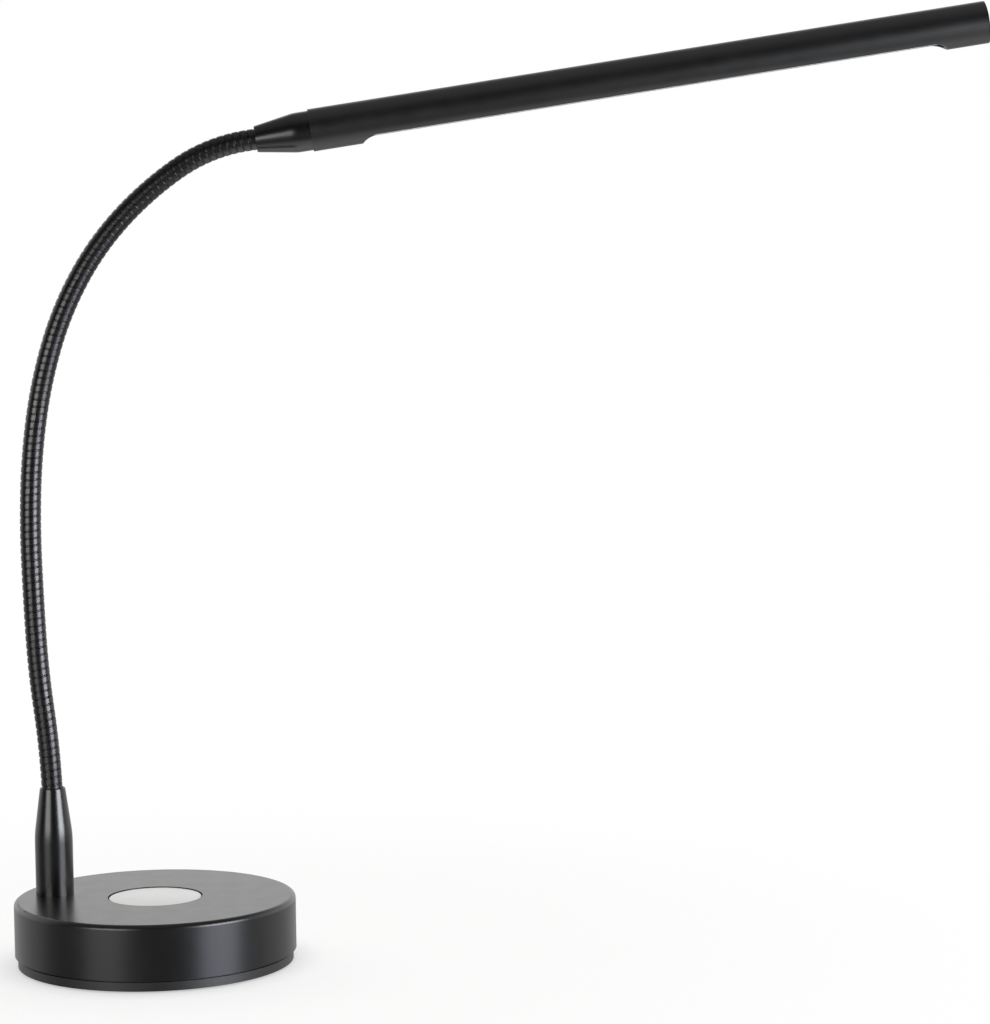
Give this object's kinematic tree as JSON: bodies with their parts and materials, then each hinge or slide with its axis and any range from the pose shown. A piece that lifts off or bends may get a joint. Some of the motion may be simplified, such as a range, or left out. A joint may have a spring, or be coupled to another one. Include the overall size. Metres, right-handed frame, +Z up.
{
  "type": "gooseneck desk lamp",
  "caption": "Slim tubular LED desk lamp: a round weighted base with a touch switch, a turned post, a flexible gooseneck and a straight tube head with a diffuser along its underside.",
  "frame": {"origin": "centre of the round base where its anti-slip pad stands on the table", "axes": "+Z up, +X from the base towards the reach of the lamp head, +Y towards the back with the power socket"},
  "size_m": [0.4206, 0.12, 0.4047],
  "materials": {
    "satin_black_plastic": "moulded ABS with a satin black paint",
    "black_plastic": "moulded ABS, fine spark-eroded texture",
    "pad_rubber": "matt foam rubber sheet",
    "zinc_steel": "bright zinc plate",
    "ballast_iron": "raw casting, grey",
    "touch_metal": "light satin, finely blasted",
    "spring_steel": "drawn wire",
    "green_board": "green solder mask",
    "chip_resin": "moulded epoxy",
    "coil_ferrite": "sintered ferrite",
    "jack_plastic": "moulded nylon",
    "nickel_brass": "nickel plated",
    "satin_black_metal": "satin black powder coat",
    "brass": "turned",
    "black_steel": "black oxide",
    "neck_steel": "satin black lacquer on wound wire",
    "lead_sheath": "soft PVC sheath",
    "black_aluminium": "satin black coat on drawn aluminium",
    "bare_aluminium": "mill finish",
    "white_board": "white solder mask",
    "led_phosphor": "yellow phosphor under clear silicone",
    "opal_diffuser": "opal acrylic",
    "cap_plastic": "moulded ABS, satin"
  },
  "bodies": {
    "base": {"base_shell": "satin_black_plastic", "bottom_cover": "black_plastic", "anti_slip_pad": "pad_rubber", "cover_screws": "zinc_steel", "ballast_weight": "ballast_iron", "touch_tray": "black_plastic", "touch_plate": "touch_metal", "touch_spring": "spring_steel", "control_board": "green_board", "driver_chip": "chip_resin", "driver_coil": "coil_ferrite", "board_screws": "zinc_steel", "dc_jack": "jack_plastic", "dc_jack_pin": "nickel_brass", "post": "satin_black_metal", "post_nipple": "brass", "post_washer": "zinc_steel", "post_nut": "zinc_steel", "post_grub_screw": "black_steel", "neck_foot": "neck_steel", "lead_base": "lead_sheath"},
    "link_1": {"neck_link_1": "neck_steel", "neck_lead_1": "lead_sheath"},
    "link_2": {"neck_link_2": "neck_steel", "neck_lead_2": "lead_sheath"},
    "link_3": {"neck_link_3": "neck_steel", "neck_lead_3": "lead_sheath"},
    "link_4": {"neck_link_4": "neck_steel", "neck_lead_4": "lead_sheath"},
    "link_5": {"neck_link_5": "neck_steel", "neck_lead_5": "lead_sheath"},
    "link_6": {"neck_link_6": "neck_steel", "neck_lead_6": "lead_sheath"},
    "link_7": {"neck_link_7": "neck_steel", "neck_lead_7": "lead_sheath"},
    "link_8": {"neck_link_8": "neck_steel", "neck_lead_8": "lead_sheath"},
    "link_9": {"neck_link_9": "neck_steel", "neck_lead_9": "lead_sheath"},
    "link_10": {"neck_link_10": "neck_steel", "neck_lead_10": "lead_sheath"},
    "head": {"neck_tip": "neck_steel", "lead_head": "lead_sheath", "head_connector": "black_aluminium", "head_grub_screws": "black_steel", "head_tube": "black_aluminium", "led_carrier": "bare_aluminium", "carrier_screws": "zinc_steel", "led_board": "white_board", "leds": "led_phosphor", "diffuser": "opal_diffuser", "end_cap": "cap_plastic"}
  },
  "joints": [
    {"name": "neck_bend_1", "type": "hinge", "parent": "base", "child": "link_1", "pos_m": [-0.0439, 0.00895, 0.07789], "axis": [0, 1, 0], "range_deg": [-12, 12]},
    {"name": "neck_sway_2", "type": "hinge", "parent": "link_1", "child": "link_2", "pos_m": [-0.04647, 0.00895, 0.10908], "axis": [0.9928, 0, 0.1201], "range_deg": [-12, 12]},
    {"name": "neck_bend_3", "type": "hinge", "parent": "link_2", "child": "link_3", "pos_m": [-0.04903, 0.00895, 0.14026], "axis": [0, 1, 0], "range_deg": [-12, 12]},
    {"name": "neck_sway_4", "type": "hinge", "parent": "link_3", "child": "link_4", "pos_m": [-0.05007, 0.00895, 0.17154], "axis": [0.9997, 0, 0.0227], "range_deg": [-12, 12]},
    {"name": "neck_bend_5", "type": "hinge", "parent": "link_4", "child": "link_5", "pos_m": [-0.04966, 0.00895, 0.20283], "axis": [0, 1, 0], "range_deg": [-12, 12]},
    {"name": "neck_sway_6", "type": "hinge", "parent": "link_5", "child": "link_6", "pos_m": [-0.04644, 0.00895, 0.23394], "axis": [0.9877, 0, -0.1564], "range_deg": [-12, 12]},
    {"name": "neck_bend_7", "type": "hinge", "parent": "link_6", "child": "link_7", "pos_m": [-0.03927, 0.00895, 0.26436], "axis": [0, 1, 0], "range_deg": [-12, 12]},
    {"name": "neck_sway_8", "type": "hinge", "parent": "link_7", "child": "link_8", "pos_m": [-0.02677, 0.00895, 0.29296], "axis": [0.8686, 0, -0.4955], "range_deg": [-12, 12]},
    {"name": "neck_bend_9", "type": "hinge", "parent": "link_8", "child": "link_9", "pos_m": [-0.00815, 0.00895, 0.31797], "axis": [0, 1, 0], "range_deg": [-12, 12]},
    {"name": "neck_sway_10", "type": "hinge", "parent": "link_9", "child": "link_10", "pos_m": [0.01569, 0.00895, 0.33811], "axis": [0.5592, 0, -0.829], "range_deg": [-12, 12]},
    {"name": "neck_bend_11", "type": "hinge", "parent": "link_10", "child": "head", "pos_m": [0.0445, 0.00895, 0.34928], "axis": [0, 1, 0], "range_deg": [-12, 12]}
  ]
}
